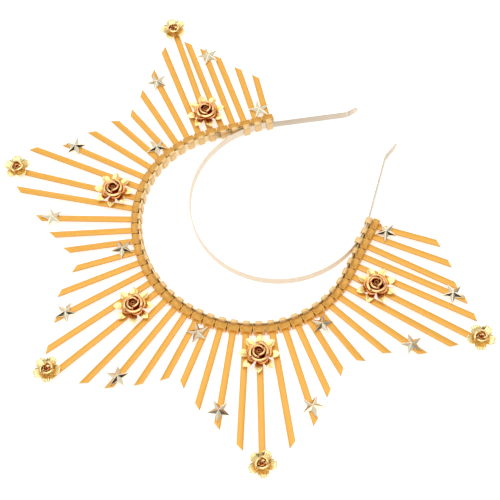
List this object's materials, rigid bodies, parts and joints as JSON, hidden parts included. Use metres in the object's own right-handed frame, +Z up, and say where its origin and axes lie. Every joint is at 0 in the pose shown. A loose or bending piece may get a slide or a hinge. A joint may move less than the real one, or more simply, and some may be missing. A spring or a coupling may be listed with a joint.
{
  "type": "diadem",
  "caption": "Gold halo diadem for the hair: strap ties fan out as rays from two metal bands, with roses, blossoms and faceted stars fixed on top.",
  "frame": {"origin": "on the surface that the diadem lies on, under the middle of its outline seen from above", "axes": "+X towards the wearer's left-hand points, +Y towards the top of the crown, +Z up, the way that the ornaments face"},
  "size_m": [0.3358, 0.2858, 0.0114],
  "materials": {
    "bands": "polished pale gold",
    "ties": "gold spray paint, satin",
    "roses": "polished rose gold",
    "blossoms": "polished pale gold",
    "stars": "polished champagne gold"
  },
  "bodies": {
    "root": {"hair_hoop": "bands", "halo_band": "bands", "rays_1": "ties", "rays_2": "ties", "rays_3": "ties", "rays_4": "ties", "rays_5": "ties", "rose_1": "roses", "rose_2": "roses", "rose_3": "roses", "rose_4": "roses", "rose_5": "roses", "blossom_1": "blossoms", "blossom_2": "blossoms", "blossom_3": "blossoms", "blossom_4": "blossoms", "blossom_5": "blossoms", "tip_star_1": "stars", "tip_star_2": "stars", "tip_star_3": "stars", "tip_star_4": "stars", "tip_star_5": "stars", "tip_star_6": "stars", "tip_star_7": "stars", "tip_star_8": "stars", "tip_star_9": "stars", "tip_star_10": "stars", "band_star_1": "stars", "band_star_2": "stars", "band_star_3": "stars", "band_star_4": "stars", "band_star_5": "stars", "band_star_6": "stars"}
  },
  "joints": []
}
